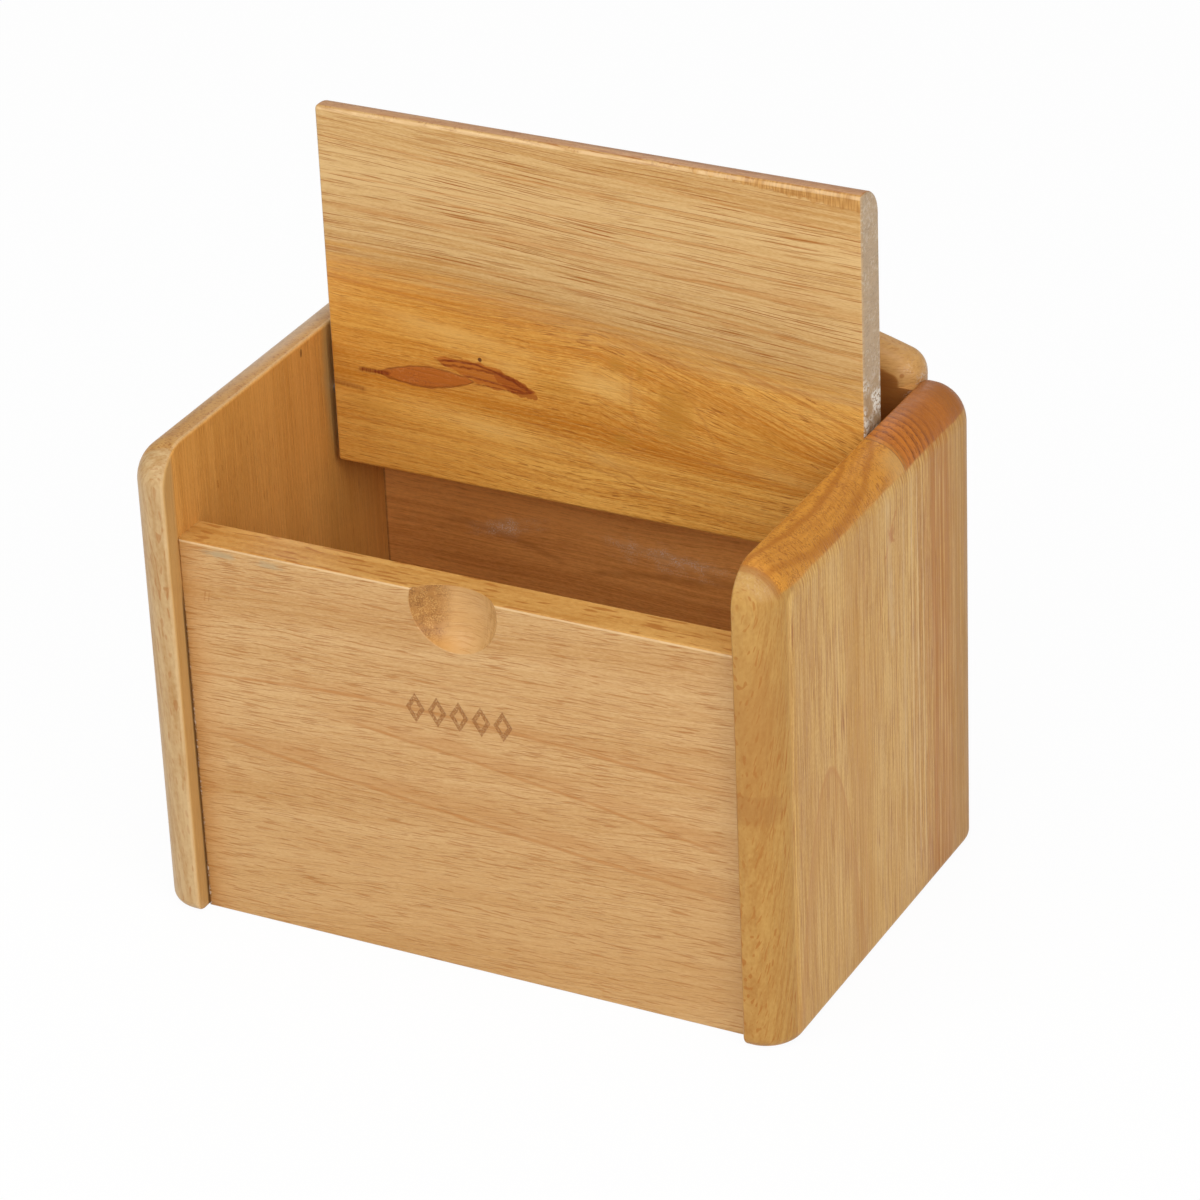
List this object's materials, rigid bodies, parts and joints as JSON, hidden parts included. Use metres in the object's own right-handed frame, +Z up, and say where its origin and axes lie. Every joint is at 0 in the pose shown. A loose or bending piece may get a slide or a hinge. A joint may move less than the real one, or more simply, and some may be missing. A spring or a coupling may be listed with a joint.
{
  "type": "salt box",
  "caption": "Open-topped hardwood salt box with rounded side boards, an arched back, a finger scoop in the front edge and a flat lid that swings up on hidden pins.",
  "frame": {"origin": "under the middle of the box, on the surface that it stands on", "axes": "+Z up, +Y towards the back panel, +X towards the side that is on the right when the front is faced; the lid is stored standing upright"},
  "size_m": [0.173, 0.1156, 0.1874],
  "materials": {
    "front_wood": "satin clear finish",
    "left_side_wood": "satin clear finish",
    "right_front_board_wood": "satin clear finish",
    "right_rear_board_wood": "satin clear finish",
    "back_wood": "satin clear finish",
    "base_wood": "satin clear finish",
    "lid_wood": "satin clear finish",
    "dowel_wood": "raw",
    "pin_steel": "plain"
  },
  "bodies": {
    "box": {"front_panel": "front_wood", "back_panel": "back_wood", "base_panel": "base_wood", "left_side": "left_side_wood", "right_side_front_board": "right_front_board_wood", "right_side_rear_board": "right_rear_board_wood", "left_hinge_pin": "pin_steel", "right_hinge_pin": "pin_steel", "left_front_lower_dowel": "dowel_wood", "left_front_upper_dowel": "dowel_wood", "left_back_lower_dowel": "dowel_wood", "left_back_upper_dowel": "dowel_wood", "left_base_front_dowel": "dowel_wood", "left_base_rear_dowel": "dowel_wood", "right_front_lower_dowel": "dowel_wood", "right_front_upper_dowel": "dowel_wood", "right_back_lower_dowel": "dowel_wood", "right_back_upper_dowel": "dowel_wood", "right_base_front_dowel": "dowel_wood", "right_base_rear_dowel": "dowel_wood"},
    "lid": {"lid": "lid_wood"}
  },
  "joints": [
    {"name": "lid_hinge", "type": "hinge", "parent": "box", "child": "lid", "pos_m": [0, 0.0253, 0.1088], "axis": [1, 0, 0], "range_deg": [-23.9, 90]}
  ]
}
